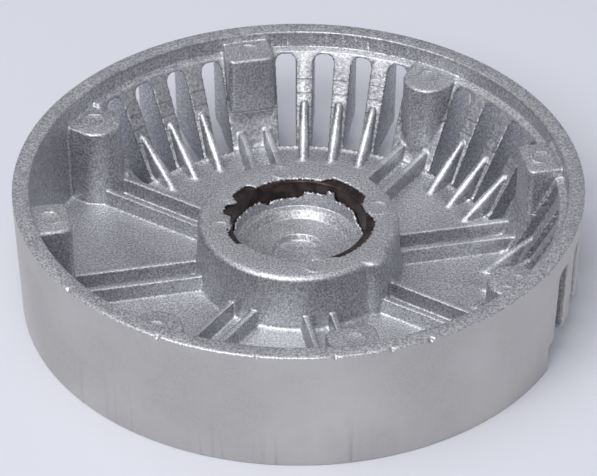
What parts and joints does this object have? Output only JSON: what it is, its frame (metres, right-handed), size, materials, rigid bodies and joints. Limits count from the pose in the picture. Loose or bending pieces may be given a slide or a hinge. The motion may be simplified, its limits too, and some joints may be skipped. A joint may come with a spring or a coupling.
{
  "type": "end housing",
  "caption": "Round cast aluminium end housing with a vented half wall, ribbed floor, wall bosses and a steel sleeve cast into its hub.",
  "frame": {"origin": "on the hub's axis, in the plane that the skirt's foot stands on", "axes": "+Z along the hub's axis, out of the open side of the bowl; +X is 12 degrees clockwise of the first boss, seen from above"},
  "size_m": [0.2, 0.2, 0.0476],
  "materials": {
    "cast_aluminium": "as-cast, fine matt grain",
    "sleeve_steel": "dark oxide scale"
  },
  "bodies": {
    "root": {"bearing_sleeve": "sleeve_steel", "casting_bore_flash": "cast_aluminium", "casting_bore_floor": "cast_aluminium", "casting_boss_1": "cast_aluminium", "casting_boss_2": "cast_aluminium", "casting_boss_3": "cast_aluminium", "casting_boss_4": "cast_aluminium", "casting_boss_5": "cast_aluminium", "casting_boss_6": "cast_aluminium", "casting_boss_7": "cast_aluminium", "casting_boss_8": "cast_aluminium", "casting_floor_web": "cast_aluminium", "casting_gusset_rod_01": "cast_aluminium", "casting_gusset_rod_02": "cast_aluminium", "casting_gusset_rod_03": "cast_aluminium", "casting_gusset_rod_04": "cast_aluminium", "casting_gusset_rod_05": "cast_aluminium", "casting_gusset_rod_06": "cast_aluminium", "casting_gusset_rod_07": "cast_aluminium", "casting_gusset_rod_08": "cast_aluminium", "casting_gusset_rod_09": "cast_aluminium", "casting_gusset_rod_10": "cast_aluminium", "casting_gusset_rod_11": "cast_aluminium", "casting_gusset_rod_12": "cast_aluminium", "casting_hub_barrel": "cast_aluminium", "casting_rib_1a": "cast_aluminium", "casting_rib_1b": "cast_aluminium", "casting_rib_2a": "cast_aluminium", "casting_rib_2b": "cast_aluminium", "casting_rib_3a": "cast_aluminium", "casting_rib_3b": "cast_aluminium", "casting_rib_4a": "cast_aluminium", "casting_rib_4b": "cast_aluminium", "casting_rib_5a": "cast_aluminium", "casting_rib_5b": "cast_aluminium", "casting_rib_6a": "cast_aluminium", "casting_rib_6b": "cast_aluminium", "casting_rib_7a": "cast_aluminium", "casting_rib_7b": "cast_aluminium", "casting_rib_8a": "cast_aluminium", "casting_rib_8b": "cast_aluminium", "casting_rim_band": "cast_aluminium", "casting_skirt_wall": "cast_aluminium", "casting_vent_bar_01": "cast_aluminium", "casting_vent_bar_02": "cast_aluminium", "casting_vent_bar_03": "cast_aluminium", "casting_vent_bar_04": "cast_aluminium", "casting_vent_bar_05": "cast_aluminium", "casting_vent_bar_06": "cast_aluminium", "casting_vent_bar_07": "cast_aluminium", "casting_vent_bar_08": "cast_aluminium", "casting_vent_bar_09": "cast_aluminium", "casting_vent_bar_10": "cast_aluminium", "casting_vent_bar_11": "cast_aluminium", "casting_vent_bar_12": "cast_aluminium"}
  },
  "joints": []
}
